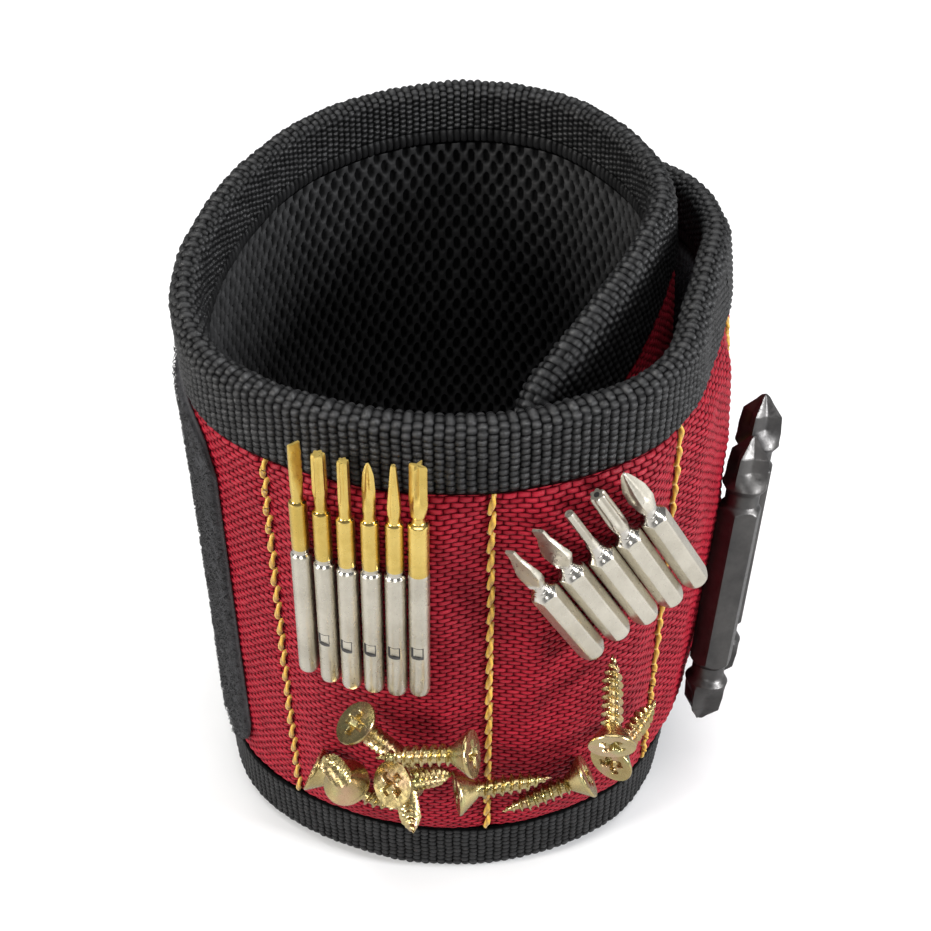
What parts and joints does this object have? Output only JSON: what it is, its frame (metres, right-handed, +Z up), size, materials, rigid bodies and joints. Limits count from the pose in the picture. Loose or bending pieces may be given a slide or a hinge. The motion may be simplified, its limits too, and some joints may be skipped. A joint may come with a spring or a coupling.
{
  "type": "magnetic tool wristband",
  "caption": "Padded wristband rolled into a cuff, with hook and loop fastening, bound edges and sewn-in magnets holding driver bits and screws.",
  "frame": {"origin": "On the resting plane, at the middle of the part's bounds as seen from above", "axes": "+Z up along the cuff's axis, -Y towards the front with the bits and screws, +X to the right of the front"},
  "size_m": [0.0985, 0.121, 0.095],
  "materials": {
    "nylon_red": "coarse basket-woven nylon, slight sheen",
    "tape_black": "ribbed woven webbing tape",
    "mesh_black": "matte knitted spacer mesh",
    "loop_black": "fuzzy loop and hook pile",
    "magnet": "plated plate magnet",
    "nickel": "satin nickel",
    "gunmetal": "dark phosphated steel",
    "zinc_yellow": "yellow zinc plating"
  },
  "bodies": {
    "pocket_centre": {"pocket_centre_cover": "nylon_red", "pocket_centre_lining": "mesh_black", "pocket_centre_top_binding": "tape_black", "pocket_centre_bottom_binding": "tape_black", "magnet_centre_lower": "magnet", "magnet_centre_middle": "magnet", "magnet_centre_upper": "magnet"},
    "pocket_right": {"pocket_right_cover": "nylon_red", "pocket_right_lining": "mesh_black", "pocket_right_top_binding": "tape_black", "pocket_right_bottom_binding": "tape_black", "magnet_right_lower": "magnet", "magnet_right_middle": "magnet", "magnet_right_upper": "magnet"},
    "fastening_end": {"fastening_end_cover": "nylon_red", "fastening_end_hook_patch": "loop_black", "fastening_end_binding": "tape_black"},
    "pocket_left": {"pocket_left_cover": "nylon_red", "pocket_left_lining": "mesh_black", "pocket_left_top_binding": "tape_black", "pocket_left_bottom_binding": "tape_black", "magnet_left_lower": "magnet", "magnet_left_middle": "magnet", "magnet_left_upper": "magnet"},
    "side_left": {"side_left_cover": "nylon_red", "side_left_lining": "mesh_black", "side_left_top_binding": "tape_black", "side_left_bottom_binding": "tape_black", "side_left_loop_patch": "loop_black"},
    "back": {"back_cover": "nylon_red", "back_lining": "mesh_black", "back_top_binding": "tape_black", "back_bottom_binding": "tape_black", "back_loop_patch": "loop_black"},
    "inner_end": {"inner_end_cover": "nylon_red", "inner_end_lining": "mesh_black", "inner_end_binding": "tape_black"},
    "fine_bits": {"fine_bit_1": "nickel", "fine_bit_2": "nickel", "fine_bit_3": "nickel", "fine_bit_4": "nickel", "fine_bit_5": "nickel", "fine_bit_6": "nickel"},
    "hex_bits": {"hex_bit_1": "nickel", "hex_bit_2": "nickel", "hex_bit_3": "nickel", "hex_bit_4": "nickel", "hex_bit_5": "nickel"},
    "double_bits": {"double_bit_front": "gunmetal", "double_bit_rear": "gunmetal"},
    "screws_left": {"screw_left_1": "zinc_yellow", "screw_left_2": "zinc_yellow", "screw_left_3": "zinc_yellow", "screw_left_4": "zinc_yellow", "screw_left_5": "zinc_yellow", "screw_left_6": "zinc_yellow", "screw_left_7": "zinc_yellow"},
    "screws_right": {"screw_right_1": "zinc_yellow", "screw_right_2": "zinc_yellow", "screw_right_3": "zinc_yellow"}
  },
  "joints": [
    {"name": "open_left_fold", "type": "hinge", "parent": "pocket_left", "child": "side_left", "pos_m": [-0.03018, -0.03685, 0.0475], "axis": [0, 0, 1], "range_deg": [0, 36]},
    {"name": "open_front_fold", "type": "hinge", "parent": "pocket_centre", "child": "pocket_left", "pos_m": [0.00068, -0.04383, 0.0475], "axis": [0, 0, 1], "range_deg": [0, 12]},
    {"name": "open_right_fold", "type": "hinge", "parent": "pocket_centre", "child": "pocket_right", "pos_m": [0.02805, -0.02896, 0.0475], "axis": [0, 0, 1], "range_deg": [-24, 0]},
    {"name": "open_back_left_fold", "type": "hinge", "parent": "side_left", "child": "back", "pos_m": [-0.03827, 0.0383, 0.0475], "axis": [0, 0, 1], "range_deg": [0, 45]},
    {"name": "open_back_right_fold", "type": "hinge", "parent": "back", "child": "inner_end", "pos_m": [0.02996, 0.03246, 0.0475], "axis": [0, 0, 1], "range_deg": [0, 27]},
    {"name": "fastening_end_peel", "type": "hinge", "parent": "pocket_right", "child": "fastening_end", "pos_m": [0.03958, -0.00075, 0.0475], "axis": [0, 0, 1], "range_deg": [-45, 0]},
    {"name": "fine_bits_lift_off", "type": "slide", "parent": "pocket_left", "child": "fine_bits", "axis": [-0.2334, -0.9724, 0], "range_m": [0, 0.06]},
    {"name": "hex_bits_lift_off", "type": "slide", "parent": "pocket_centre", "child": "hex_bits", "axis": [0.4446, -0.8957, 0], "range_m": [0, 0.06]},
    {"name": "double_bits_lift_off", "type": "slide", "parent": "pocket_right", "child": "double_bits", "axis": [0.9189, -0.3945, 0], "range_m": [0, 0.06]},
    {"name": "screws_left_lift_off", "type": "slide", "parent": "pocket_left", "child": "screws_left", "axis": [-0.2334, -0.9724, 0], "range_m": [0, 0.06]},
    {"name": "screws_right_lift_off", "type": "slide", "parent": "pocket_centre", "child": "screws_right", "axis": [0.4446, -0.8957, 0], "range_m": [0, 0.06]}
  ],
  "couplings": [
    {"joint": "open_front_fold", "follows": "open_left_fold", "ratio": 0.3333},
    {"joint": "open_right_fold", "follows": "open_left_fold", "ratio": -0.6666},
    {"joint": "open_back_left_fold", "follows": "open_left_fold", "ratio": 1.25},
    {"joint": "open_back_right_fold", "follows": "open_left_fold", "ratio": 0.75}
  ]
}
